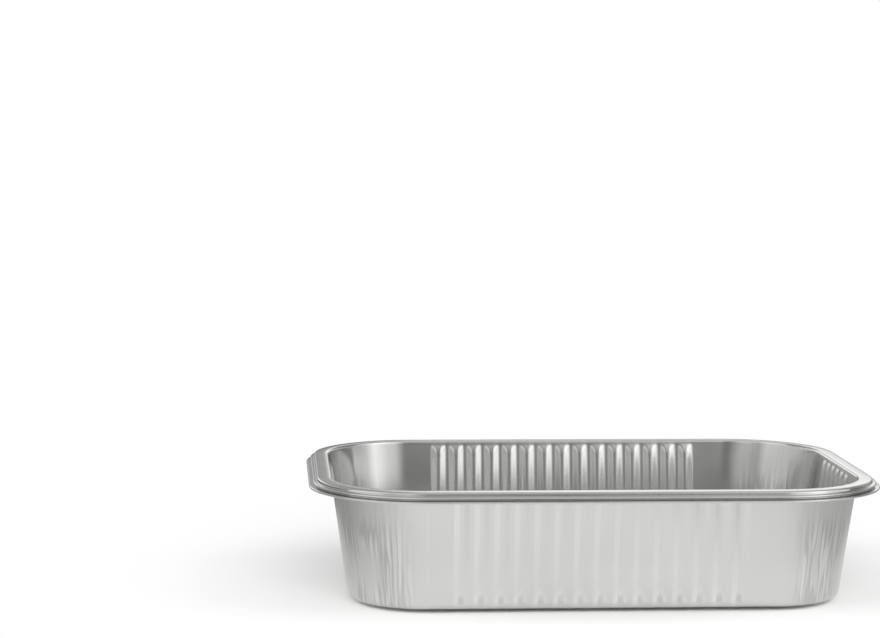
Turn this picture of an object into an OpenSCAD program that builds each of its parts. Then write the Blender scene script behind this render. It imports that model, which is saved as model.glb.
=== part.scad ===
// Oblong foil food container, pressed from one sheet of aluminium foil.
// The sheet runs from the rolled lip over the flange, down the ribbed wall and across the stepped floor.
// Origin at the middle of the underside, X along the length, Y along the width, Z up.

/* [Overall] */
// Length over the rolled lip
length = 226; // [208:1:260]
// Width over the rolled lip
width = 154; // [138:1:200]
// Height from the table to the top of the flange
height = 49; // [36:1:70]
// Corner radius of the rim, seen from above
corner_r = 45; // [36:1:52]
// Thickness of the foil
foil_t = 0.2; // [0.16:0.02:0.4]

/* [Wall] */
// Lean of the wall from upright, in degrees
wall_lean = 8.2; // [5:0.2:14]
// Radius between the wall and the floor
base_fillet_r = 3; // [1.5:0.5:4.5]

/* [Rim] */
// Width from the outside of the lip to the inner edge of the flange
flange_w = 9; // [7:0.5:13]
// Radius where the wall turns into the flange
flange_bend_r = 1.2; // [0.8:0.1:2]
// Radius of the flange's outer edge
rim_edge_r = 0.6; // [0.5:0.1:1]
// Drop from the flange to the folded step
rim_drop = 1.6; // [1.2:0.1:3]
// Width of the folded step, outward from the drop
fold_w = 1.6; // [1:0.1:2]
// Thickness of the folded step
fold_t = 0.95; // [0.5:0.05:1.2]
// Groove between the step and the rolled lip
groove_h = 0.6; // [0.3:0.05:1.2]
// How far the rolled lip stands out from the step
lip_w = 1.5; // [1:0.1:2]
// Thickness of the rolled lip
lip_t = 0.9; // [0.5:0.05:1]

/* [Ribs] */
// Ribs on each long wall
long_ribs = 15; // [3:2:17]
// Ribs on each end wall
end_ribs = 6; // [2:1:7]
// Spacing of the ribs
rib_pitch = 7.7; // [6:0.1:8]
// Radius of the tool that presses a rib
rib_r = 3.1; // [2:0.1:4]
// How far a rib stands into the container
rib_depth = 0.9; // [0.5:0.1:1.2]
// Distance from the top of the base fillet to the ribs' lower ends
rib_foot_gap = 0.7; // [0.4:0.1:6]
// Distance from the flange bend to the ribs' upper ends
rib_head_gap = 0.9; // [0.4:0.1:6]

/* [Floor] */
// Width of the ring round the floor, from the foot of the wall to the first step
ring_w = 6.6; // [5.2:0.2:8]
// Drop from the ring to the ledge
ring_drop = 0.5; // [0.3:0.1:1.2]
// Width of the ledge round the panels
ledge_w = 1.6; // [1:0.2:3]
// Drop from the ledge to the panels that touch the table
panel_drop = 0.8; // [0.5:0.1:1.5]
// Width of each sloping step in the floor
step_w = 3; // [2:0.2:4]
// Sunken panels, side by side along the length
panels = 3; // [1:1:5]
// Width of the raised divider between two panels
divider_w = 1.6; // [1:0.2:4]
// Radius of the panels' corners beside a divider
panel_corner_r = 1.8; // [1:0.2:4]

/* [Hidden] */
$fn = 64;
arc_steps = 6;
// Overlap that joins pieces and lets a cut run past a surface
lap = 0.05;

half_l = length / 2;
half_w = width / 2;
// The corners of the container all turn about one upright axis, this far from its middle
turn_x = half_l - corner_r;
turn_y = half_w - corner_r;

// Heights of the underside of the floor's levels
ledge_z = panel_drop;
ring_z = ledge_z + ring_drop;

// Sections are drawn with x as the distance outward from the corner axis
wall_run = (height - ring_z) * tan(wall_lean);
inner_top_x = corner_r - flange_w;
wall_skin = foil_t / cos(wall_lean);
base_x = inner_top_x - wall_run + wall_skin;
ring_inner_x = base_x - ring_w;
ledge_outer_x = ring_inner_x - step_w;
ledge_inner_x = ledge_outer_x - ledge_w;
lip_x = corner_r - lip_w;
edge_x = lip_x - fold_w;
fold_z = height - rim_drop;
lip_z = fold_z - fold_t - groove_h;
// Top of the sheet where it runs into the middle of the lip
seat_z = lip_z - (lip_t - foil_t) / 2;

// Half the width of a rib's mark in the wall, and the heights of its round ends' centres
rib_half_w = sqrt(rib_depth * (2 * rib_r - rib_depth));
rib_low_z = ring_z + base_fillet_r * (1 - sin(wall_lean)) + rib_foot_gap + rib_half_w;
rib_high_z = height - flange_bend_r * (1 - sin(wall_lean)) - rib_head_gap - rib_half_w;

// Outline of the panels' field, and of one panel, at the ledge
field_x = turn_x + ledge_inner_x;
field_y = turn_y + ledge_inner_x;
panel_l = (2 * field_x - (panels - 1) * divider_w) / panels;

// Points of an arc from one angle to another
function arc(centre, r, from, to) =
    [for (i = [0 : arc_steps]) centre + r * [cos(from + (to - from) * i / arc_steps),
                                             sin(from + (to - from) * i / arc_steps)]];

// Distance from a point on the base to the centre of its fillet
function fillet_back(r) = r * (1 - sin(wall_lean)) / cos(wall_lean);

// Underside of the sheet, from the ledge out to the rolled lip
function sheet_under() = concat(
    [[ledge_inner_x - lap, ledge_z], [ledge_outer_x, ledge_z], [ring_inner_x, ring_z]],
    arc([base_x - fillet_back(base_fillet_r), ring_z + base_fillet_r], base_fillet_r, -90, -wall_lean),
    arc([inner_top_x + fillet_back(flange_bend_r), height - flange_bend_r],
        flange_bend_r - foil_t, 180 - wall_lean, 90),
    arc([edge_x - rim_edge_r, height - rim_edge_r], rim_edge_r - foil_t, 90, 0),
    [[edge_x - foil_t, seat_z - foil_t], [lip_x + lap, seat_z - foil_t]]);

// Upper side of the sheet, back from the rolled lip to the ledge
function sheet_over() = concat(
    [[lip_x + lap, seat_z], [edge_x, seat_z]],
    arc([edge_x - rim_edge_r, height - rim_edge_r], rim_edge_r, 0, 90),
    arc([inner_top_x + fillet_back(flange_bend_r), height - flange_bend_r],
        flange_bend_r, 90, 180 - wall_lean),
    arc([base_x - fillet_back(base_fillet_r), ring_z + base_fillet_r],
        base_fillet_r - foil_t, -wall_lean, -90),
    [[ring_inner_x, ring_z + foil_t], [ledge_outer_x, ledge_z + foil_t],
     [ledge_inner_x - lap, ledge_z + foil_t]]);

// Section of one turn of the rim, a flat band with a round outer edge, given by its top
module rim_turn(from_x, to_x, top_z, thick) {
    translate([from_x, top_z - thick]) square([to_x - thick / 2 - from_x, thick]);
    translate([to_x - thick / 2, top_z - thick / 2]) circle(r = thick / 2);
}

// Section of the sheet with its folded step and its rolled lip
module sheet_section() {
    polygon(concat(sheet_under(), sheet_over()));
    rim_turn(edge_x - lap, lip_x, fold_z, fold_t);
    rim_turn(lip_x, corner_r, lip_z, lip_t);
}

// One side of the container, as a straight run of the section towards +X
module straight_side(run) {
    rotate([90, 0, 0]) linear_extrude(height = run, center = true) sheet_section();
}

// Sides and corners of the sheet, from the rim to the ledge
module side_walls() {
    for (turn = [0, 180]) rotate(turn) {
        translate([turn_x, 0, 0]) straight_side(2 * turn_y);
        translate([0, turn_y, 0]) rotate(90) straight_side(2 * turn_x);
        translate([turn_x, turn_y, 0]) rotate_extrude(angle = 90) sheet_section();
        translate([-turn_x, turn_y, 0]) rotate(90) rotate_extrude(angle = 90) sheet_section();
    }
}

// Flat plate inside the ledge, which the panels are pressed into
module field_plate() {
    translate([0, 0, ledge_z]) {
        translate([-turn_x, -field_y, 0]) cube([2 * turn_x, 2 * field_y, foil_t]);
        translate([-field_x, -turn_y, 0]) cube([2 * field_x, 2 * turn_y, foil_t]);
        for (sx = [-1, 1], sy = [-1, 1]) translate([sx * turn_x, sy * turn_y, 0])
            cylinder(r = ledge_inner_x, h = foil_t);
    }
}

// Tapered corner of a panel, with its radius given at the ledge
module panel_corner(r, depth) {
    cylinder(r1 = r - step_w, r2 = r - step_w + step_w * depth / panel_drop, h = depth);
}

// Tapered body of one panel, numbered from the left, as deep as stated
module panel_form(i, depth) {
    left = -field_x + i * (panel_l + divider_w);
    left_r = (i == 0) ? ledge_inner_x : panel_corner_r + step_w;
    right_r = (i == panels - 1) ? ledge_inner_x : panel_corner_r + step_w;
    hull() for (sy = [-1, 1]) {
        translate([left + left_r, sy * (field_y - left_r), 0]) panel_corner(left_r, depth);
        translate([left + panel_l - right_r, sy * (field_y - right_r), 0]) panel_corner(right_r, depth);
    }
}

// Outward distance, from the corner axis, of the wall's outer face at a height
function wall_x(z) = base_x + (z - ring_z) * tan(wall_lean);

// Round-ended tool for one rib on a wall that faces +X
module rib_tool(r) {
    axis_len = (rib_high_z - rib_low_z) / cos(wall_lean);
    stand_off = (rib_r - rib_depth) / cos(wall_lean);
    translate([wall_x(rib_low_z) + stand_off, 0, rib_low_z]) rotate([0, wall_lean, 0]) {
        cylinder(r = r, h = axis_len);
        sphere(r = r);
        translate([0, 0, axis_len]) sphere(r = r);
    }
}

// A row of rib tools along one wall
module rib_row(count, r) {
    for (i = [0 : count - 1]) translate([0, (i - (count - 1) / 2) * rib_pitch, 0]) rib_tool(r);
}

// The foil of a row of ribs, kept to the inner side of the wall's middle
module rib_skins(count) {
    reach = 2 * rib_depth + foil_t;
    intersection() {
        rib_row(count, rib_r + foil_t);
        translate([wall_x(0) - wall_skin / 2, 0, 0]) rotate([0, wall_lean, 0])
            translate([-reach, -count * rib_pitch / 2, 0]) cube([reach, count * rib_pitch, height]);
    }
}

// Puts a row's form on the two end walls and on the two long walls
module on_walls() {
    for (turn = [0, 180]) rotate(turn) {
        translate([turn_x, 0, 0]) children(0);
        translate([0, turn_y, 0]) rotate(90) children(1);
    }
}

// The whole container, one pressed sheet
module container() {
    color("gainsboro") difference() {
        union() {
            side_walls();
            field_plate();
            for (i = [0 : panels - 1]) panel_form(i, panel_drop);
            on_walls() {
                rib_skins(end_ribs);
                rib_skins(long_ribs);
            }
        }
        on_walls() {
            rib_row(end_ribs, rib_r);
            rib_row(long_ribs, rib_r);
        }
        for (i = [0 : panels - 1]) translate([0, 0, foil_t]) panel_form(i, panel_drop + foil_t);
    }
}

container();
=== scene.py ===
"""Foil food container: one sheet pressed inside its CAD frame, its finish and its studio."""
from collections import namedtuple
from math import cos, degrees, pi, radians, sin, tan

import bpy
from mathutils import Matrix, Vector
from mathutils.geometry import delaunay_2d_cdt


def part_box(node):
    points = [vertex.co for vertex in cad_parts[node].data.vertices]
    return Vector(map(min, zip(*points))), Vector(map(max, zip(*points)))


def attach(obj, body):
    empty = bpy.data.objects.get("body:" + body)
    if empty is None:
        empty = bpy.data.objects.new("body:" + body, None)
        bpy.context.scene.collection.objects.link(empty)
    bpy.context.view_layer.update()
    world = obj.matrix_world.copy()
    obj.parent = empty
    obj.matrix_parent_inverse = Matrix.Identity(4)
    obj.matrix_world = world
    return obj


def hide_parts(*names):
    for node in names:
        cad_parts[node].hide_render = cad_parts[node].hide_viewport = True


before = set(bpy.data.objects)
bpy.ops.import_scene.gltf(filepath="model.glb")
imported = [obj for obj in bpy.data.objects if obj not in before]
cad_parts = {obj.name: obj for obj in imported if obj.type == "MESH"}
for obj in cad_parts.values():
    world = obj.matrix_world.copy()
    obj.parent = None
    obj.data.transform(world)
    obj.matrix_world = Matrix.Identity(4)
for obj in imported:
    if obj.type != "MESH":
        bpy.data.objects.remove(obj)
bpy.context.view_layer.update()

bl_info = {
    "name": "Foil food container",
    "version": (1, 0, 0),
    "blender": (4, 5, 0),
    "location": "View3D > Sidebar > Container",
    "description": "Presses a ribbed foil container inside its CAD frame and sets its studio",
    "category": "Add Mesh",
}

LOW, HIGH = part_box("container")
MM = 0.001
WHITE = (1.0, 1.0, 1.0, 1.0)


# Sizes and finishes

def length(name, default, description):
    """A size in metres that the user can change."""
    return bpy.props.FloatProperty(name=name, default=default, description=description,
                                   unit="LENGTH", subtype="DISTANCE", precision=5)


def angle(name, default, description):
    """An angle, given here in degrees."""
    return bpy.props.FloatProperty(name=name, default=radians(default), description=description,
                                   unit="ROTATION", subtype="ANGLE")


def factor(name, default, description, high=1.0):
    """A plain number from 0 upwards."""
    return bpy.props.FloatProperty(name=name, default=default, description=description,
                                   min=0.0, max=high, precision=3)


def count(name, default, description):
    """A whole number."""
    return bpy.props.IntProperty(name=name, default=default, description=description, min=0)


def colour(name, default, description):
    """A colour."""
    return bpy.props.FloatVectorProperty(name=name, default=default, description=description,
                                         subtype="COLOR", size=3, min=0.0, max=1.0)


class SheetSizes(bpy.types.PropertyGroup):
    """Sizes of the pressed sheet: the CAD model's, and how far the flange sags."""
    long_side: length("Length", HIGH.x - LOW.x, "Length over the rolled lip")
    short_side: length("Width", HIGH.y - LOW.y, "Width over the rolled lip")
    height: length("Height", HIGH.z - LOW.z, "Height from the table to the top of the flange")
    corner_radius: length("Corner radius", 45 * MM, "Corner radius of the rim, seen from above")
    thickness: length("Foil thickness", 0.2 * MM, "Thickness of the foil")
    wall_lean: angle("Wall lean", 8.2, "Lean of the wall from upright")
    base_fillet: length("Base fillet", 3 * MM, "Radius between the wall and the floor")
    flange_width: length("Flange width", 9 * MM, "Outside of the lip to the flange's inner edge")
    flange_bend: length("Flange bend", 1.2 * MM, "Radius where the wall turns into the flange")
    flange_sag: length("Flange sag", 0.2 * MM, "How far the flange's outer edge hangs down")
    rim_edge: length("Rim edge", 0.6 * MM, "Radius of the flange's outer edge")
    rim_drop: length("Rim drop", 1.6 * MM, "Drop from the flange to the folded step")
    fold_width: length("Step width", 1.6 * MM, "Width of the folded step, outward from the drop")
    fold_thickness: length("Step thickness", 0.95 * MM, "Thickness of the folded step")
    groove: length("Groove", 0.6 * MM, "Height of the groove between the step and the lip")
    lip_width: length("Lip width", 1.5 * MM, "How far the rolled lip stands out from the step")
    lip_thickness: length("Lip thickness", 0.9 * MM, "Thickness of the rolled lip")
    ring_width: length("Ring width", 6.6 * MM, "From the foot of the wall to the first step")
    ring_drop: length("Ring drop", 0.5 * MM, "Drop from the ring to the ledge")
    ledge_width: length("Ledge width", 1.6 * MM, "Width of the ledge round the panels")
    panel_drop: length("Panel drop", 0.8 * MM, "Drop from the ledge to the panels")
    step_width: length("Floor step width", 3 * MM, "Width of each sloping step in the floor")
    panels: count("Panels", 3, "Sunken panels, side by side")
    divider_width: length("Divider width", 1.6 * MM, "Width of the raised divider between panels")
    panel_corner: length("Panel corner", 1.8 * MM, "Radius of a panel's corners beside a divider")


class PressedForms(bpy.types.PropertyGroup):
    """Ribs that the press leaves in the walls, and the creases that the foil takes."""
    rib_pitch: length("Rib pitch", 7.7 * MM, "Spacing of the ribs")
    long_ribs: count("Ribs on a long wall", 15, "Ribs on each long wall")
    end_ribs: count("Ribs on an end wall", 6, "Ribs on each end wall")
    rib_depth: length("Rib depth", 1.0 * MM, "How far a rib stands into the container")
    rib_crest: length("Rib crest", 1.55 * MM, "Width of a rib's flat crest")
    rib_flank: length("Rib flank", 2.3 * MM, "Width of a rib's sloping flank")
    rib_aside: length("Rib row shift", -1.45 * MM, "How far a long wall's ribs are off its middle")
    rib_foot: length("Rib foot", 3.6 * MM, "Height at which the ribs' lower ends meet the wall")
    rib_head: length("Rib head", 47.3 * MM, "Height at which the ribs' upper ends meet the wall")
    rib_run_out: length("Rib run-out", 4.6 * MM, "Height over which a rib's end meets the wall")
    rib_foot_slope: factor("Rib foot slope", 1.1, "How steeply a rib's lower end runs out", 2.0)
    corner_flare: length("Corner flare", 0.45 * MM, "How far the corners flare below the flange")
    crease_depth: length("Crease depth", 0.14 * MM, "Depth of the creases down the corners")
    crease_spacing: length("Crease spacing", 2.3 * MM, "Usual distance between two creases")
    crease_run: length("Crease run", 34 * MM, "Usual length of a crease")
    smoothest: factor("Smoothest corner", 0.45, "Share of the creases in the smoothest corner")
    crimp_depth: length("Crimp depth", 0.09 * MM, "Depth of the crimps across the rim's corners")
    dent_depth: length("Dent depth", 0.22 * MM, "Depth of the soft dents in the whole sheet")
    dent_size: length("Dent size", 45 * MM, "Usual width of a soft dent")
    seed: count("Seed", 7, "Picks one pattern of creases and dents")


class FoilFinish(bpy.types.PropertyGroup):
    """Finish of the bare aluminium foil, with painted shade and highlights in its colour."""
    metal: colour("Metal", (0.583, 0.581, 0.572), "Colour of the foil")
    roughness: factor("Roughness", 0.14, "Roughness of the smooth foil")
    worn: factor("Worn roughness", 0.19, "Roughness where handling has dulled the foil")
    crinkle: factor("Crinkle", 0.12, "Strength of the fine crinkles")
    # The streaks set both the bumps of the corner creases and the strength of their painted shade
    # and highlights
    streaks: factor("Streaks", 0.6, "Strength of the fine streaks down the corners")
    # Painted shade in the thin lines of the corner creases
    painted_crease_shade: factor("Dark lines", 0.4, "How much darker a streak's thin lines are")
    # Painted highlight on the ridges of the corner creases
    painted_crease_glint: factor("Bright lines", 0.18, "How much brighter a streak's ridges are")
    # Painted shade in the rim's groove
    painted_groove_shade: factor("Groove shade", 0.1, "How much darker the groove in the rim is")
    # Painted light that brightens the foot of the walls against the floor's shade
    painted_bright: factor("Rubbed foot", 0.12, "How much brighter the foot of the walls is rubbed")
    # Painted highlight on the flank of each rib that faces the brighter side
    bands: factor("Rubbed bands", 0.085, "How much brighter one flank of each rib is rubbed")
    # Painted shade in the pits at the ribs' feet
    painted_pit_shade: factor("Dull feet", 0.2, "How much duller the pits at the ribs' feet stay")


class Studio(bpy.types.PropertyGroup):
    """Camera, lamps and floor."""
    camera_distance: length("Camera distance", 1.0221, "From the camera to the picture's middle")
    camera_rise: angle("Camera rise", 5.105, "Elevation of the camera")
    camera_turn: angle("Camera turn", 4.011, "Turn of the container, seen from the camera")
    camera_roll: angle("Camera roll", 0.367, "Roll of the camera about its own axis")
    camera_right: length("Camera offset", 59.55 * MM,
                         "Container's distance right of the picture's middle")
    camera_down: length("Camera drop", 107.35 * MM,
                        "Container's distance below the picture's middle")
    lens: factor("Lens", 102.04, "Focal length in millimetres on the sensor's width", 500.0)
    floor: colour("Floor", (0.93, 0.93, 0.925), "Colour of the floor")
    surroundings: factor("Surroundings", 0.48, "Strength of the soft light from all round", 4.0)
    reflections: factor("Reflections", 1.09, "Brightness of the studio in reflections", 4.0)
    front_box: factor("Front softbox", 3.3, "Brightness of the softbox above the camera", 20.0)
    right_box: factor("Right softbox", 2.9, "Brightness of the softbox at the right", 20.0)
    left_box: factor("Left softbox", 3.1, "Brightness of the softbox at the left", 20.0)


# Node expressions

class Term:
    """A node's output that can stand in an expression; each operator adds its Math node."""

    def __init__(self, bench, socket):
        self.bench, self.socket = bench, socket

    def __add__(self, other):
        return self.bench.math("ADD", self, other)

    def __sub__(self, other):
        return self.bench.math("SUBTRACT", self, other)

    def __rsub__(self, other):
        return self.bench.math("SUBTRACT", other, self)

    def __mul__(self, other):
        return self.bench.math("MULTIPLY", self, other)

    def __truediv__(self, other):
        return self.bench.math("DIVIDE", self, other)

    def __rtruediv__(self, other):
        return self.bench.math("DIVIDE", other, self)

    def __neg__(self):
        return self.bench.math("MULTIPLY", self, -1.0)

    def __abs__(self):
        return self.bench.math("ABSOLUTE", self)

    def __lt__(self, other):
        return self.bench.math("LESS_THAN", self, other)

    def __gt__(self, other):
        return self.bench.math("GREATER_THAN", self, other)

    __radd__, __rmul__ = __add__, __mul__


class Bench:
    """Adds nodes to one tree."""

    def __init__(self, tree):
        self.tree = tree

    def node(self, kind, settings=None, inputs=None, out=0):
        """A new node: its settings first, then its sockets' values or links; gives an output."""
        made = self.tree.nodes.new(kind)
        for name, value in (settings or {}).items():
            setattr(made, name, value)
        for name, value in (inputs or {}).items():
            if isinstance(value, Term):
                self.tree.links.new(value.socket, made.inputs[name])
            else:
                made.inputs[name].default_value = value
        return Term(self, made.outputs[out]) if made.outputs else None

    def math(self, operation, *terms):
        """One Math node."""
        return self.node("ShaderNodeMath", {"operation": operation}, dict(enumerate(terms)))

    def least(self, first, second):
        """The smaller of two numbers."""
        return self.math("MINIMUM", first, second)

    def most(self, first, second):
        """The greater of two numbers."""
        return self.math("MAXIMUM", first, second)

    def added(self, first, second):
        """The sum of two vectors."""
        return self.node("ShaderNodeVectorMath", {"operation": "ADD"}, {0: first, 1: second})

    def scaled(self, vector, amount):
        """A vector times a number."""
        return self.node("ShaderNodeVectorMath", {"operation": "SCALE"},
                         {0: vector, "Scale": amount})

    def point(self, x, y, z):
        """A vector from its three numbers."""
        return self.node("ShaderNodeCombineXYZ", None, {0: x, 1: y, 2: z})

    def parts(self, vector):
        """The three numbers of a vector."""
        first = self.node("ShaderNodeSeparateXYZ", None, {0: vector})
        return [Term(self, out) for out in first.socket.node.outputs]

    def step(self, value, low, high, start=0.0, end=1.0):
        """A soft step from start to end as value goes from low to high."""
        return self.node("ShaderNodeMapRange", {"interpolation_type": "SMOOTHSTEP"},
                         {"Value": value, "From Min": low, "From Max": high,
                          "To Min": start, "To Max": end})

    def ramp(self, value, stops):
        """Greys that change with a value, from pairs of place and grey."""
        grey = self.node("ShaderNodeValToRGB", None, {0: value})
        elements = grey.socket.node.color_ramp.elements
        for place, _ in stops[1:-1]:
            elements.new(place)
        for element, (place, shade) in zip(elements, stops):
            element.position, element.color = place, (shade, shade, shade, 1.0)
        return grey

    def mix(self, share, first, second):
        """A colour between two, by share."""
        return self.node("ShaderNodeMix", {"data_type": "RGBA"},
                         {0: share, 6: first, 7: second}, 2)

    def noise(self, where, scale=1.0, detail=1.0, roughness=0.5):
        """Soft noise from 0 to 1 at a place."""
        return self.node("ShaderNodeTexNoise", {"noise_dimensions": "3D"},
                         {"Vector": where, "Scale": scale, "Detail": detail,
                          "Roughness": roughness})

    def fact(self, name, kind="FLOAT"):
        """What lay_sheet stored under this name at the sheet's points."""
        if self.tree.type == "GEOMETRY":
            return self.node("GeometryNodeInputNamedAttribute", {"data_type": kind},
                             {"Name": name})
        return self.node("ShaderNodeAttribute", {"attribute_name": name}, out="Fac")

    def surface(self, shader, kind="Material"):
        """Leads a shader to the output of a material or a world."""
        self.node("ShaderNodeOutput" + kind, None, {"Surface": shader})


# The plain sheet: rows run round the container, each at one place of the sheet's section, and
# stations stand on the way round, first one wall's and then the next corner's

Station = namedtuple("Station", "centre facing along row_half phase girth corner",
                     defaults=(0.0,) * 5)
Row = namedtuple("Row", "out rise wall rim seam free", defaults=(0.0,) * 4)
Bottom = namedtuple("Bottom", "low high centres radii")

# Rows over the step from the ledge to the ring, as shares of its width and of its height
EASED_STEP = ((-0.2, 0), (0.1, 1 / 16), (0.4, 0.36), (0.6, 0.64), (0.9, 15 / 16), (1.2, 1))
RING_ROW = 0.35  # place of the row on the ring, as a share of its width
RUN_OUT_MARKS = (0.6, 1.2, 1.9, 2.7, 3.6, 4.6, 6.6)  # millimetres from either end of the wall
MIDDLE_ROWS = 4
FILLET_SHARES = (0.0, 0.1, 0.35, 0.65, 0.9)  # of the wall's forms, from the floor to the wall
BEND_SHARES = (0.9, 0.6, 0.3, 0.1)  # the same, from the wall to the flange
FLANGE_SHARES = (0.3, 0.65)
EDGE_STEPS, DROP_STEPS, ROLL_STEPS, GROOVE_STEPS = 3, 2, 5, 4
DROP_FOOT = 0.25 * MM  # radius where the drop meets the folded step
LIP_CURL, LIP_END, LIP_END_RISE = 0.5 * MM, 0.8 * MM, 0.15 * MM  # from the roll's underside
RIB_EDGE = 0.15 * MM  # stations stand this far to both sides of a rib's edge
PLAIN_STEP = 1.8 * MM  # between stations past the last rib
CORNER_STEPS = 48
CREASE_RADIUS = 33 * MM  # a corner's radius half-way up the wall, where creases are spaced
BEFORE_SMOOTH_CORNER = 1  # the far wall; the corner at its left end is the smoothest
PANEL_SHARES = (0.0, 0.12, 0.3, 0.5, 0.7, 0.88, 1.0)
PANEL_CORNER_STEPS = 9
BOTTOM_STEP, BOTTOM_MARGIN = 5 * MM, 0.9 * MM
SAME_POINT = 1e-7


def arc(centre, radius, start, end, steps):
    """Points of an arc from one angle to another, in degrees."""
    turns = [radians(start + (end - start) * i / steps) for i in range(steps + 1)]
    return [(centre[0] + radius * cos(t), centre[1] + radius * sin(t)) for t in turns]


def between(first, last, share):
    """Point on the line from first to last."""
    return tuple(a + (b - a) * share for a, b in zip(first, last))


def spaced(start, end, gap):
    """Places from start up to end, without it, about a gap apart."""
    steps = max(3, round(abs(end - start) / gap))
    return [start + (end - start) * i / steps for i in range(steps)]


def wall_shares(run):
    """Places up the wall as shares of its height, close together where the ribs run out."""
    near = [mark * MM / run for mark in RUN_OUT_MARKS]
    left = 1 - 2 * near[-1]
    middle = [near[-1] + left * i / (MIDDLE_ROWS + 1) for i in range(1, MIDDLE_ROWS + 1)]
    return near + middle + [1 - share for share in reversed(near)]


class Levels:
    """Heights and outward distances that the section turns at, worked out as in the CAD model."""

    def __init__(self, s):
        lean = s.wall_lean
        self.ledge = s.panel_drop
        self.ring = self.ledge + s.ring_drop
        self.inner_top = s.corner_radius - s.flange_width
        self.base = self.inner_top - (s.height - self.ring) * tan(lean) + s.thickness / cos(lean)
        self.ring_inner = self.base - s.ring_width
        self.ledge_outer = self.ring_inner - s.step_width
        self.ledge_inner = self.ledge_outer - s.ledge_width
        self.lip_foot = s.corner_radius - s.lip_width
        self.edge = self.lip_foot - s.fold_width
        self.fold = s.height - s.rim_drop
        self.lip = self.fold - s.fold_thickness - s.groove
        self.turn_x = s.long_side / 2 - s.corner_radius
        self.turn_y = s.short_side / 2 - s.corner_radius
        self.field_x = self.turn_x + self.ledge_inner
        self.field_y = self.turn_y + self.ledge_inner


def floor_profile(s, at):
    """Section of the floor's outer part: the ledge, the eased step and the ring."""
    low, high = at.ledge + s.thickness, at.ring + s.thickness
    eased = [(at.ledge_outer + s.step_width * across, low + s.ring_drop * up)
             for across, up in EASED_STEP]
    first = (at.ledge_inner + s.ledge_width / 2, low)
    return [first] + eased + [(at.ring_inner + s.ring_width * RING_ROW, high)]


def rim_rows(s, at, inner_edge):
    """Rows from the flange over its edge, the folded step and the groove to the rolled lip."""
    edge = arc((at.edge - s.rim_edge, s.height - s.rim_edge - s.flange_sag),
               s.rim_edge, 90, 0, EDGE_STEPS)
    flat = [between(inner_edge, edge[0], share) for share in FLANGE_SHARES]
    drop = arc((at.edge + DROP_FOOT, at.fold + DROP_FOOT), DROP_FOOT, 180, 270, DROP_STEPS)
    half = s.fold_thickness / 2
    fold = arc((at.lip_foot - half, at.fold - half), half, 90, -90, ROLL_STEPS)
    half = s.groove / 2
    groove = arc((at.edge + 2 * half, at.lip + half), half, 90, 270, GROOVE_STEPS)
    half = s.lip_thickness / 2
    roll = arc((s.corner_radius - half, at.lip - half), half, 90, -90, ROLL_STEPS)
    out, rise = roll[-1]
    rows = [Row(*point, rim=1.0) for point in flat + edge + drop + fold]
    # The groove's rows are marked for painted shade in the foil's colour
    rows += [Row(*point, rim=1.0, seam=1.0) for point in groove]
    rows += [Row(*point, rim=1.0) for point in roll + [(out - LIP_CURL, rise)]]
    return rows + [Row(out - LIP_END, rise + LIP_END_RISE, rim=1.0, free=1.0)]


def section_rows(s, at):
    """Upper side of the sheet from the ledge out to the end of the rolled lip, as rows."""
    lean = degrees(s.wall_lean)
    back = (1 - sin(s.wall_lean)) / cos(s.wall_lean)
    fillet = arc((at.base - s.base_fillet * back, at.ring + s.base_fillet),
                 s.base_fillet - s.thickness, -90, -lean, len(FILLET_SHARES))
    bend = arc((at.inner_top + s.flange_bend * back, s.height - s.flange_bend),
               s.flange_bend, 180 - lean, 90, len(BEND_SHARES))
    foot, head = fillet[-1], bend[0]
    wall = [between(foot, head, share) for share in wall_shares(head[1] - foot[1])]
    rows = [Row(*point) for point in floor_profile(s, at)]
    rows += [Row(*point, wall=share) for point, share in zip(fillet, FILLET_SHARES)]
    rows += [Row(*point, wall=1.0) for point in [foot] + wall + [head]]
    rows += [Row(*point, wall=share, rim=1.0) for point, share in zip(bend[1:], BEND_SHARES)]
    return rows + rim_rows(s, at, bend[-1])


def wall_stations(f, middle, side, half_run, ribs, girth):
    """Stations along one wall; middle lies half-way between its two corners' centres."""
    ahead = Vector((-side.y, side.x))
    crest, foot = f.rib_crest / 2, f.rib_crest / 2 + f.rib_flank
    flank = [crest - RIB_EDGE, crest + RIB_EDGE, (crest + foot) / 2,
             foot - RIB_EDGE, foot + RIB_EDGE]
    marks = [-f.rib_pitch / 2] + [-mark for mark in reversed(flank)] + [0.0] + flank
    aside = -f.rib_aside * side.y
    row_half = ribs * f.rib_pitch / 2
    phase = 0.0 if ribs % 2 else pi
    places = [aside + (i - (ribs - 1) / 2) * f.rib_pitch + mark
              for i in range(ribs) for mark in marks]
    places.append(aside + row_half)
    places = (spaced(-half_run, places[0], PLAIN_STEP) + places
              + spaced(places[-1], half_run, PLAIN_STEP)[1:])
    return [Station(middle + ahead * p, side, p - aside, row_half, phase, girth + half_run + p)
            for p in places]


def corner_stations(centre, start, girth, half_run, creased):
    """Stations round one corner, from the direction start through a quarter turn."""
    found = []
    for i in range(CORNER_STEPS):
        turn = pi / 2 * i / CORNER_STEPS
        facing = Vector((cos(start + turn), sin(start + turn)))
        found.append(Station(centre, facing, along=half_run, girth=girth + CREASE_RADIUS * turn,
                             corner=creased * sin(2 * turn)))
    return found


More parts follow.
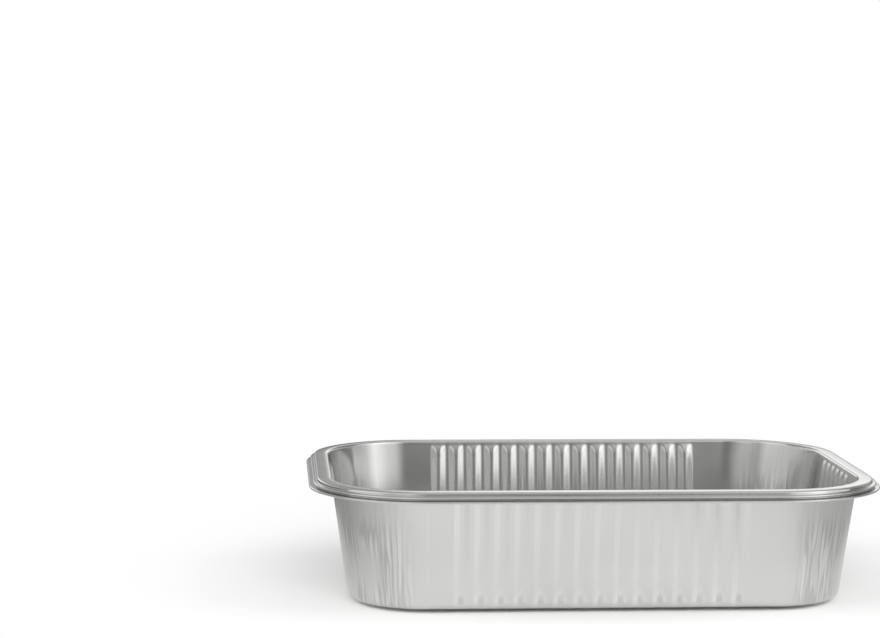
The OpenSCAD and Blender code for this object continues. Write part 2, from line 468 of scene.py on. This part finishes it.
def stations_round(f, at):
    """Stations once round the container, counter-clockwise from its +X wall."""
    found, girth = [], 0.0
    for wall in range(4):
        start = wall * pi / 2
        side = Vector((round(cos(start)), round(sin(start))))
        ahead = Vector((-side.y, side.x))
        on_end = wall % 2 == 0
        half_run, reach = (at.turn_y, at.turn_x) if on_end else (at.turn_x, at.turn_y)
        ribs = f.end_ribs if on_end else f.long_ribs
        found += wall_stations(f, side * reach, side, half_run, ribs, girth)
        girth += 2 * half_run
        creased = f.smoothest if wall == BEFORE_SMOOTH_CORNER else 1.0
        corner = side * reach + ahead * half_run
        found += corner_stations(corner, start, girth, half_run, creased)
        girth += CREASE_RADIUS * pi / 2
    return found


def panel_loops(s, at):
    """Each sunken panel's contours with their heights, and what its flat bottom covers."""
    size = (2 * at.field_x - (s.panels - 1) * s.divider_width) / s.panels
    by_divider = s.panel_corner + s.step_width
    loops, bottoms = [], []
    for i in range(s.panels):
        left = -at.field_x + i * (size + s.divider_width)
        radii = {-1: at.ledge_inner if i == 0 else by_divider,
                 1: at.ledge_inner if i == s.panels - 1 else by_divider}
        centres = {-1: left + radii[-1], 1: left + size - radii[1]}
        for share in PANEL_SHARES:
            fall = share * share * (3 - 2 * share)
            points = []
            for sx, sy, start in ((1, 1, 0), (-1, 1, 90), (-1, -1, 180), (1, -1, 270)):
                middle = (centres[sx], sy * (at.field_y - radii[sx]))
                points += arc(middle, radii[sx] - share * s.step_width,
                              start, start + 90, PANEL_CORNER_STEPS)
            loops.append((points, at.ledge - s.panel_drop * fall + s.thickness))
        bottoms.append(Bottom(left + s.step_width, left + size - s.step_width, centres,
                              {side: radius - s.step_width for side, radius in radii.items()}))
    return loops, bottoms


def bottom_points(s, at, bottoms):
    """Evenly spaced points on the panels' flat bottoms."""
    half = at.field_y - s.step_width
    found = []
    for low, high, centres, radii in bottoms:
        across = round((high - low) / BOTTOM_STEP)
        up = round(2 * half / BOTTOM_STEP)
        for i in range(1, across):
            for j in range(1, up):
                x, y = low + (high - low) * i / across, -half + 2 * half * j / up
                side = -1 if x < (low + high) / 2 else 1
                past = Vector(((x - centres[side]) * side, abs(y) - (half - radii[side])))
                in_corner = past.x > 0 and past.y > 0
                if not in_corner or past.length <= radii[side] - BOTTOM_MARGIN:
                    found.append((x, y))
    return found


def floor_mesh(s, at, border):
    """Fills the inside of the first row; gives the new points and the triangles by index."""
    loops, bottoms = panel_loops(s, at)
    flat = [Vector(p) for p in border]
    heights = [at.ledge + s.thickness] * len(border)
    edges = [(i, (i + 1) % len(border)) for i in range(len(border))]
    for points, rise in loops:
        first, last = len(flat), len(flat) + len(points) - 1
        flat += [Vector(p) for p in points]
        heights += [rise] * len(points)
        edges += [(i, i + 1) for i in range(first, last)] + [(last, first)]
    loose = bottom_points(s, at, bottoms)
    flat += [Vector(p) for p in loose]
    heights += [s.thickness] * len(loose)
    placed, _, faces, origins, _, _ = delaunay_2d_cdt(flat, edges, [], 1, SAME_POINT, True)
    index, points = {}, []
    for i, sources in enumerate(origins):
        on_border = [k for k in sources if k < len(border)]
        if on_border:
            index[i] = on_border[0]
        else:
            index[i] = len(border) + len(points)
            points.append((placed[i].x, placed[i].y, heights[sources[0]]))
    return points, [[index[i] for i in face] for face in faces]


STATION_FACTS = ("along", "row_half", "phase", "girth", "corner")
ROW_FACTS = ("wall", "rim", "seam", "free")


def lay_sheet(s, f):
    """The plain sheet's upper side, with what the pressing tree needs to know at each point."""
    at = Levels(s)
    rows, stations = section_rows(s, at), stations_round(f, at)
    around = len(stations)
    points, facts = [], {name: [] for name in STATION_FACTS + ROW_FACTS + ("inward",)}

    def lay(point, station, row):
        points.append(point)
        for names, source in ((STATION_FACTS, station), (ROW_FACTS, row)):
            for name in names:
                facts[name].append(getattr(source, name))
        inward = (-station.facing * cos(s.wall_lean)).to_3d() + Vector((0, 0, sin(s.wall_lean)))
        facts["inward"].extend(inward)

    for row in rows:
        for station in stations:
            place = station.centre + station.facing * row.out
            lay((place.x, place.y, row.rise), station, row)
    quads = [[j * around + i, (j + 1) * around + i,
              (j + 1) * around + (i + 1) % around, j * around + (i + 1) % around]
             for j in range(len(rows) - 1) for i in range(around)]
    inner, triangles = floor_mesh(s, at, [point[:2] for point in points[:around]])
    shift = len(points) - around
    triangles = [[i if i < around else i + shift for i in face] for face in triangles]
    for point in inner:
        lay(point, Station(Vector((0, 0)), Vector((1, 0))), rows[0])
    mesh = bpy.data.meshes.new("container_foil")
    mesh.from_pydata(points, [], quads + triangles)
    for name, values in facts.items():
        kind, field = ("FLOAT_VECTOR", "vector") if name == "inward" else ("FLOAT", "value")
        mesh.attributes.new(name, kind, "POINT").data.foreach_set(field, values)
    mesh.update()
    return mesh


# Pressing: the Geometry Nodes tree
# A pair is what a value goes through, from low to high, while a form comes in or fades

PRESS_INPUTS = ("Rib pitch", "Rib depth", "Rib crest", "Rib flank", "Rib foot", "Rib foot slope",
                "Rib head", "Rib run-out", "Corner flare", "Crease depth", "Crease spacing",
                "Crease run", "Crimp depth", "Dent depth", "Dent size", "Foil thickness", "Seed")
INTO_CORNER = (0.2, 0.75)  # of the corner fact, which is 1 in the middle of a corner
HEAD_NARROWS = 0.25  # how much shallower a rib's section is at its head
CREASES_START, CREASES_FADE = (4 * MM, 14 * MM), (36 * MM, 46.5 * MM)
CREASES_FADED = 0.6  # share of a crease's depth that is gone below the flange
CREASE_SHARPNESS, CREASE_DETAIL, CREASE_ROUGHNESS = 4, 2.0, 0.55
CREASE_GROUP, GROUP_EDGE, FEWEST_CREASES = 11 * MM, (0.35, 0.65), 0.35
PLEAT_WIDTH, LONG_RUN = 2.4 * MM, 50 * MM
GROUP_SEED, PLEAT_SEED = 3.7, 9.1  # added to the seed, so that the noises differ
STRAIGHT_CRIMPS = 0.15  # share of the crimps that the rim's straight sides have
WALL_STARTS = (2.5 * MM, 8 * MM)
DENT_DETAIL, DENT_ROUGHNESS = 1.5, 0.4
FLOOR_DENTS, RIM_STIFFNESS = 0.08, 0.7  # shares of the dents that the floor has and the rim lacks
FLARE_FROM, FLARE_RUN = 36 * MM, 11.5 * MM
WELD = 0.002 * MM


def ribs_inward(b, given, rise):
    """How far the ribs stand inward."""
    along, pitch, run_out = abs(b.fact("along")), given["Rib pitch"], given["Rib run-out"]
    flank = given["Rib flank"]
    wave = b.math("COSINE", along * (2 * pi) / pitch + b.fact("phase"))
    from_crest = b.math("ARCCOSINE", wave) * pitch / (2 * pi)
    section = b.least((given["Rib crest"] / 2 + flank - from_crest) / flank, 1.0)
    past_head = b.most(rise - given["Rib head"] + run_out, 0.0) / run_out
    past_foot = b.most(given["Rib foot"] + run_out - rise, 0.0) / run_out
    head = 1 - past_head * past_head
    section = section * (1 - HEAD_NARROWS + HEAD_NARROWS * head)
    ends = b.least(head, 1 - past_foot * given["Rib foot slope"])
    pressed = b.most(b.least(section, ends), 0.0)
    return pressed * given["Rib depth"] * b.fact("wall") * (along < b.fact("row_half"))


def creases_inward(b, given, rise):
    """How far the creases down the corners stand inward; they come in groups."""
    girth, seed = b.fact("girth"), given["Seed"]
    where = b.point(girth / given["Crease spacing"], rise / given["Crease run"], seed)
    streak = b.noise(where, detail=CREASE_DETAIL, roughness=CREASE_ROUGHNESS)
    group = b.noise(b.point(girth / CREASE_GROUP, rise / LONG_RUN, seed + GROUP_SEED))
    folds = 1 - abs(streak - 0.5) * CREASE_SHARPNESS
    folds = folds * b.step(group, *GROUP_EDGE, FEWEST_CREASES, 1.0)
    shown = b.step(rise, *CREASES_START) * (1 - b.step(rise, *CREASES_FADE, 0.0, CREASES_FADED))
    in_corner = b.step(b.fact("corner"), *INTO_CORNER)
    return folds * given["Crease depth"] * in_corner * b.fact("wall") * shown


def rim_crimps(b, given, rise):
    """How far the rim is crimped, most of all round the corners."""
    where = b.point(b.fact("girth") / PLEAT_WIDTH, rise / LONG_RUN, given["Seed"] + PLEAT_SEED)
    share = b.fact("corner") * (1 - STRAIGHT_CRIMPS) + STRAIGHT_CRIMPS
    return (b.noise(where) - 0.5) * 2 * given["Crimp depth"] * share * b.fact("rim")


def soft_dents(b, given, place, rise):
    """How far the soft dents go, to both sides in the walls but only upward in the floor."""
    soft = b.noise(b.scaled(place, 1 / given["Dent size"]),
                   detail=DENT_DETAIL, roughness=DENT_ROUGHNESS)
    in_wall = b.step(rise, *WALL_STARTS)
    share = FLOOR_DENTS + in_wall * (1 - FLOOR_DENTS)
    return (soft * 2 - in_wall) * given["Dent depth"] * share * (1 - b.fact("rim") * RIM_STIFFNESS)


def flare_outward(b, given, rise):
    """How far the corners flare outward below the flange."""
    share = b.most(rise - FLARE_FROM, 0.0) / FLARE_RUN
    return share * share * b.fact("corner") * b.fact("wall") * given["Corner flare"]


def pressing_tree():
    """Tree that presses the forms into the sheet and gives it its thickness."""
    tree = bpy.data.node_groups.new("Foil pressing", "GeometryNodeTree")
    sockets = [("Geometry", "Geometry"), ("Foil", "Material")]
    sockets += [(name, "Float") for name in PRESS_INPUTS]
    for name, kind in sockets:
        tree.interface.new_socket(name, in_out="INPUT", socket_type="NodeSocket" + kind)
    tree.interface.new_socket("Geometry", in_out="OUTPUT", socket_type="NodeSocketGeometry")
    b = Bench(tree)
    entry = tree.nodes.new("NodeGroupInput")
    given = {name: Term(b, entry.outputs[name]) for name, _ in sockets}
    place, normal = b.node("GeometryNodeInputPosition"), b.node("GeometryNodeInputNormal")
    _, _, rise = b.parts(place)
    inward = ribs_inward(b, given, rise) + creases_inward(b, given, rise)
    inward = inward - flare_outward(b, given, rise)
    off_sheet = rim_crimps(b, given, rise) + soft_dents(b, given, place, rise)
    offset = b.added(b.scaled(b.fact("inward", "FLOAT_VECTOR"), inward),
                     b.scaled(normal, off_sheet))
    upper = b.node("GeometryNodeSetPosition", None,
                   {"Geometry": given["Geometry"], "Offset": offset})
    skin = b.scaled(normal, (b.fact("free") - 1) * given["Foil thickness"])
    lower = b.node("GeometryNodeSetPosition", None, {"Geometry": upper, "Offset": skin})
    turned = b.node("GeometryNodeFlipFaces", None, {"Mesh": lower})
    both = tree.nodes.new("GeometryNodeJoinGeometry")
    for side in (upper, turned):
        tree.links.new(side.socket, both.inputs[0])
    welded = b.node("GeometryNodeMergeByDistance", None,
                    {"Geometry": Term(b, both.outputs[0]), "Distance": WELD})
    smooth = b.node("GeometryNodeSetShadeSmooth", None, {"Geometry": welded})
    real = b.node("GeometryNodeRealizeInstances", None, {"Geometry": smooth})
    dressed = b.node("GeometryNodeSetMaterial", None,
                     {"Geometry": real, "Material": given["Foil"]})
    b.node("NodeGroupOutput", None, {0: dressed})
    return tree


def pressed_piece(name, mesh, tree, values):
    """Runs the tree on a mesh and keeps its result as a plain mesh."""
    piece = bpy.data.objects.new(name, mesh)
    bpy.context.scene.collection.objects.link(piece)
    modifier = piece.modifiers.new("Pressing", "NODES")
    modifier.node_group = tree
    for item in tree.interface.items_tree:
        if item.item_type == "SOCKET" and item.in_out == "INPUT" and item.name in values:
            modifier[item.identifier] = values[item.name]
    graph = bpy.context.evaluated_depsgraph_get()
    result = bpy.data.meshes.new_from_object(piece.evaluated_get(graph), depsgraph=graph,
                                             preserve_all_data_layers=True)
    piece.modifiers.remove(modifier)
    piece.data = result
    result.name = name
    bpy.data.meshes.remove(mesh)
    return piece


# Materials

HANDLED, SHADED, CRINKLED = 22.0, 30.0, 110.0  # patches and crinkles per metre
HANDLED_EDGE, SHADED_EDGE, SHADES = (0.25, 0.8), (0.2, 0.8), (0.98, 1.02)
CRINKLE_DEPTH, STREAK_DEPTH = 0.2 * MM, 0.3 * MM
STREAK_WIDTH, STREAK_RUN, STREAK_DETAIL = 2.3 * MM, 32 * MM, 1.5
STREAK_GROUP, STREAK_GROUP_RUN, STREAK_GROUP_EDGE = 12 * MM, 30 * MM, (0.22, 0.5)
STREAK_SEED, STREAK_GROUP_SEED = 2.0, 5.0
STREAKS_FADE, STREAKS_FADED = (26 * MM, 40 * MM), 0.85
# Where the creases' painted shade lines and painted highlights lie in the streaks' noise
DARK_LINE, RIDGE_EDGE = (0.0, 0.09), (0.52, 0.62)  # of the streaks' noise
# Where the painted flank highlight and the painted pit shade lie on a wave that follows the ribs
FLANK_EDGE, CREST_EDGE = (0.45, 0.75), (0.2, 0.85)  # of a wave that follows the ribs
# Heights of the painted shade in the pits at the ribs' feet
PIT_STARTS, PIT_ENDS = (3.2 * MM, 4.4 * MM), (5.2 * MM, 8.5 * MM)
# Heights over which the painted light at the walls' foot fades out
PAINTED_FOOT_HEIGHTS = (3 * MM, 24 * MM)


def new_material(name):
    """An empty node material and its bench."""
    material = bpy.data.materials.new(name)
    material.use_nodes = True
    material.node_tree.nodes.clear()
    return material, Bench(material.node_tree)


def corner_streaks(b, rise):
    """Pattern of the fine lines drawn down the corners, and how much of it shows; it bumps the
    foil and places the painted shade and highlights along the creases.
    """
    girth = b.fact("girth")
    drawn = b.noise(b.point(girth / STREAK_WIDTH, rise / STREAK_RUN, STREAK_SEED),
                    detail=STREAK_DETAIL)
    group = b.noise(b.point(girth / STREAK_GROUP, rise / STREAK_GROUP_RUN, STREAK_GROUP_SEED),
                    detail=0.0)
    in_corner = b.step(b.fact("corner"), *INTO_CORNER)
    shown = b.step(group, *STREAK_GROUP_EDGE) * in_corner * b.fact("wall")
    return drawn, shown * (1 - b.step(rise, *STREAKS_FADE, 0.0, STREAKS_FADED))


def painted_wall_light(b, finish, rise, rib_pitch):
    """Painted light and shade on the wall: how much brighter the wall's foot and one flank of each
    rib are painted, and how much duller the pits are painted.
    """
    along = b.fact("along")
    round_rib = along * (2 * pi / rib_pitch) + b.fact("phase")
    # Painted highlight on one flank of each rib
    flank = b.step(-b.math("SINE", round_rib), *FLANK_EDGE)
    foot = b.step(rise, *PIT_STARTS) * (1 - b.step(rise, *PIT_ENDS))
    # Painted shade in the pits at the ribs' feet
    shaded_pit = b.step(b.math("COSINE", round_rib), *CREST_EDGE) * foot
    on_ribs = abs(along) < b.fact("row_half")
    painted_rib_light = (flank * finish.bands - shaded_pit * finish.painted_pit_shade) * on_ribs
    # Painted light brightens the walls' foot
    return (painted_rib_light + b.step(rise, *PAINTED_FOOT_HEIGHTS, finish.painted_bright, 0.0)) * b.fact("wall")


def foil_material(finish, rib_pitch):
    """Bare aluminium foil: rolled bright, crinkled finely, dulled in patches by handling; its
    colour carries painted shade and highlights on the corner creases, in the rim's groove, on the
    ribs and at the walls' foot.
    """
    material, b = new_material("Pressed aluminium foil")
    place = b.node("ShaderNodeTexCoord", out="Object")
    _, _, rise = b.parts(place)
    roughness = b.step(b.noise(place, HANDLED), *HANDLED_EDGE, finish.roughness, finish.worn)
    shade = b.step(b.noise(place, SHADED), *SHADED_EDGE, *SHADES)
    drawn, shown = corner_streaks(b, rise)
    # Painted shade along the creases' thin lines and painted highlight along their ridges
    lines = (1 - b.step(abs(drawn - 0.5), *DARK_LINE)) * shown
    ridges = b.step(drawn, *RIDGE_EDGE) * shown
    painted_crease_light = (ridges * finish.painted_crease_glint - lines * finish.painted_crease_shade) * finish.streaks
    # Painted shade darkens the rim's groove
    shade = shade * (1 + painted_crease_light) * (1 - b.fact("seam") * finish.painted_groove_shade)
    # The foil's colour with its random tone and all its painted shade and highlights
    tint = b.scaled(b.point(*finish.metal), shade * (1 + painted_wall_light(b, finish, rise, rib_pitch)))
    fine = b.node("ShaderNodeBump", None,
                  {"Strength": finish.crinkle, "Distance": CRINKLE_DEPTH,
                   "Height": b.noise(place, CRINKLED)})
    down = b.node("ShaderNodeBump", None,
                  {"Strength": finish.streaks, "Distance": STREAK_DEPTH,
                   "Height": drawn * shown, "Normal": fine})
    b.surface(b.node("ShaderNodeBsdfPrincipled", None,
                     {"Base Color": tint, "Metallic": 1.0, "Roughness": roughness,
                      "Normal": down}))
    return material


# How bright the studio looks in the foil, by direction: degrees to the right of the camera's side
STUDIO_ROUND = (
    (-180, 0.38), (-177, 0.44), (-173, 1.20), (-165, 1.30), (-150, 1.05), (-108, 0.72),
    (-70, 0.70), (-60, 0.74), (-52, 0.72), (-46, 0.52), (-40, 0.45), (-34, 0.50),
    (-26, 0.56), (-18, 0.58), (-8, 0.40), (0, 0.21), (9, 0.21), (14, 0.46), (20, 0.78),
    (32, 0.92), (42, 1.14), (54, 1.36), (64, 0.78), (80, 0.53), (106, 0.53), (150, 0.74),
    (165, 1.08), (172, 1.20), (176, 1.10), (178, 0.54), (180, 0.38))
# The same for the floor further out, which glows in reflections with this painted brightness
FLOOR_ROUND = (
    (-180, 0.12), (-150, 0.15), (-125, 0.32), (-95, 0.42), (-60, 0.68), (-30, 0.92),
    (0, 0.88), (30, 0.82), (50, 0.64), (70, 0.58), (106, 0.50), (130, 0.40), (150, 0.15),
    (180, 0.12))
# Where the matt floor turns into the backdrop, in metres, and how much nearer that is endwise
FLOOR_ENDS, GLOSSY_FLOOR_ENDS, FLOOR_OVAL = (0.1, 0.3), (0.12, 0.28), 1.8


def brightness_round(b, table, x, y):
    """Brightness that a table gives for the direction of x and y."""
    azimuth = b.math("ARCTAN2", x, -y) / (2 * pi) + 0.5
    return b.ramp(azimuth, [(0.5 + turn / 360, shade) for turn, shade in table])


def floor_material(studio):
    """Pale matt floor that runs out into the white backdrop; further out it glows, white to the
    camera and with a painted brightness by direction in reflections.
    """
    material, b = new_material("Pale studio floor")
    matt = b.node("ShaderNodeBsdfDiffuse", None, {"Color": (*studio.floor, 1.0)})
    x, y, _ = b.parts(b.node("ShaderNodeTexCoord", out="Object"))
    away = b.math("SQRT", x * x * FLOOR_OVAL + y * y)
    glossy = b.node("ShaderNodeLightPath", out="Is Glossy Ray")
    round_about = b.scaled(brightness_round(b, FLOOR_ROUND, x, y), studio.reflections)
    glow = b.mix(glossy, WHITE, round_about)
    far = b.node("ShaderNodeEmission", None, {"Color": glow, "Strength": 1.0})
    share = b.most(b.step(away, *FLOOR_ENDS), b.step(away, *GLOSSY_FLOOR_ENDS) * glossy)
    b.surface(b.node("ShaderNodeMixShader", None, {0: share, 1: matt, 2: far}))
    return material


# Operators

FEWEST_FACES = 1000
SENSOR = 36  # millimetres
SOFTBOX_SIDE, SOFTBOX_AWAY, FLOOR_REACH = 1.2, 1.6, 3.0  # metres
SOFTBOXES = {"front": (6, 24), "right": (78, 30), "left": (-75, 30)}  # degrees round and up
# The studio's bands, each from a sine of the elevation to another
NEAR_HORIZON, RISING, HIGHER, ABOVE = (0.02, 0.14), (0.04, 0.22), (0.22, 0.42), (0.5, 0.95)
# How much the bands add on the camera's side, and how much they take away behind the container
HORIZON_ADDS, HORIZON_DIMS = 0.85, 0.8
HIGHER_ADDS, HIGHER_DIMS = 0.55, 0.65
RISING_LEVELS, OVERHEAD = (0.8, 1.1), 0.7


class FOIL_OT_press(bpy.types.Operator):
    """Lay the sheet, press it and give it its foil finish"""
    bl_idname = "foil_container.press"
    bl_label = "Press the container"

    def execute(self, context):
        scene = context.scene
        sizes, forms = scene.foil_sizes, scene.foil_forms
        values = {"Foil": foil_material(scene.foil_finish, forms.rib_pitch)}
        for group in (sizes, forms):
            for field in group.__annotations__:
                name = group.bl_rna.properties[field].name
                values[name] = float(getattr(group, field))
        piece = pressed_piece("container_foil", lay_sheet(sizes, forms), pressing_tree(), values)
        if len(piece.data.polygons) < FEWEST_FACES:
            raise RuntimeError("the pressing tree gave no sheet")
        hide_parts("container")
        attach(piece, "root")
        return {"FINISHED"}


def place_camera(studio):
    """Camera at the photograph's viewing angle."""
    turn, rise, roll = studio.camera_turn, studio.camera_rise, studio.camera_roll
    seen = Vector((-studio.camera_right,
                   studio.camera_down * sin(rise) - studio.camera_distance * cos(rise),
                   studio.camera_down * cos(rise) + studio.camera_distance * sin(rise)))
    right, up = Vector((1, 0, 0)), Vector((0, sin(rise), cos(rise)))
    right, up = right * cos(roll) + up * sin(roll), up * cos(roll) - right * sin(roll)
    about = Matrix.Rotation(-turn, 3, "Z")
    axes = Matrix([about @ v for v in (right, up, right.cross(up))]).transposed()
    data = bpy.data.cameras.new("studio_camera")
    data.lens, data.sensor_width = studio.lens, SENSOR
    camera = bpy.data.objects.new("studio_camera", data)
    camera.matrix_world = Matrix.Translation(about @ seen) @ axes.to_4x4()
    bpy.context.scene.collection.objects.link(camera)
    bpy.context.scene.camera = camera


def softbox(name, azimuth, elevation, brightness):
    """Soft lamp turned to the container, at an azimuth to the right of the camera's side."""
    data = bpy.data.lights.new(name, "AREA")
    data.shape, data.size = "SQUARE", SOFTBOX_SIDE
    data.energy = brightness * pi * SOFTBOX_SIDE ** 2
    lamp = bpy.data.objects.new(name, data)
    lamp.visible_glossy = False
    turn, rise = radians(azimuth), radians(elevation)
    away = Vector((sin(turn) * cos(rise), -cos(turn) * cos(rise), sin(rise))) * SOFTBOX_AWAY
    facing = (-away).to_track_quat("-Z", "Y").to_matrix().to_4x4()
    lamp.matrix_world = Matrix.Translation(away) @ facing
    bpy.context.scene.collection.objects.link(lamp)


def surround(studio):
    """World: white to the camera, the studio's bands to reflections, soft light to the rest."""
    world = bpy.data.worlds.new("Studio surround")
    world.use_nodes = True
    world.node_tree.nodes.clear()
    b = Bench(world.node_tree)
    x, y, up = b.parts(b.node("ShaderNodeTexCoord", out="Generated"))
    behind = y > 0.0
    horizon, higher = b.step(up, *NEAR_HORIZON, 1.0, 0.0), b.step(up, *HIGHER)
    rising, above = b.step(up, *RISING, *RISING_LEVELS), b.step(up, *ABOVE)
    front = rising + higher * HIGHER_ADDS
    back = rising * (1 - horizon * HORIZON_DIMS) - higher * HIGHER_DIMS
    level = brightness_round(b, STUDIO_ROUND, x, y) * (front * (1 - behind) + back * behind)
    level = level + horizon * (1 - behind) * HORIZON_ADDS
    seen = (level * (1 - above) + above * OVERHEAD) * studio.reflections
    camera = b.node("ShaderNodeLightPath", out="Is Camera Ray")
    glossy = b.node("ShaderNodeLightPath", out="Is Glossy Ray")
    even = b.mix(glossy, (studio.surroundings,) * 3 + (1.0,), b.scaled(WHITE[:3], seen))
    sky = b.node("ShaderNodeBackground", None,
                 {"Color": b.mix(camera, even, WHITE), "Strength": 1.0})
    b.surface(sky, "World")
    bpy.context.scene.world = world


def lay_floor(studio):
    """Flat floor under the container, fading into the backdrop."""
    mesh = bpy.data.meshes.new("studio_floor")
    corners = ((-1, -1), (1, -1), (1, 1), (-1, 1))
    mesh.from_pydata([(x * FLOOR_REACH, y * FLOOR_REACH, 0) for x, y in corners],
                     [], [(0, 1, 2, 3)])
    mesh.materials.append(floor_material(studio))
    floor = bpy.data.objects.new("studio_floor", mesh)
    bpy.context.scene.collection.objects.link(floor)


class FOIL_OT_stage(bpy.types.Operator):
    """Lay the pale floor, hang the softboxes and set the camera"""
    bl_idname = "foil_container.stage"
    bl_label = "Set the stage"

    def execute(self, context):
        studio = context.scene.foil_studio
        lay_floor(studio)
        surround(studio)
        for side, (azimuth, elevation) in SOFTBOXES.items():
            softbox("softbox_" + side, azimuth, elevation, getattr(studio, side + "_box"))
        place_camera(studio)
        context.scene.view_settings.view_transform = "Standard"
        return {"FINISHED"}


class FOIL_PT_panel(bpy.types.Panel):
    """Lists the container's operators and sizes"""
    bl_idname = "FOIL_PT_panel"
    bl_label = "Foil container"
    bl_space_type = "VIEW_3D"
    bl_region_type = "UI"
    bl_category = "Container"

    def draw(self, context):
        for operator in OPERATORS:
            self.layout.operator(operator.bl_idname)
        for name in GROUPS:
            group = getattr(context.scene, name)
            box = self.layout.box()
            for field in group.__annotations__:
                box.prop(group, field)


OPERATORS = (FOIL_OT_press, FOIL_OT_stage)
GROUPS = {"foil_sizes": SheetSizes, "foil_forms": PressedForms, "foil_finish": FoilFinish,
          "foil_studio": Studio}


def register():
    """Adds the property groups, operators and panel."""
    for cls in (*GROUPS.values(), *OPERATORS, FOIL_PT_panel):
        bpy.utils.register_class(cls)
    for name, cls in GROUPS.items():
        setattr(bpy.types.Scene, name, bpy.props.PointerProperty(type=cls))


def unregister():
    """Takes them away again."""
    for name in GROUPS:
        delattr(bpy.types.Scene, name)
    for cls in reversed((*GROUPS.values(), *OPERATORS, FOIL_PT_panel)):
        bpy.utils.unregister_class(cls)


def main():
    """Makes the container and its stage."""
    register()
    bpy.ops.foil_container.press()
    bpy.ops.foil_container.stage()


if __name__ == "__main__":
    main()
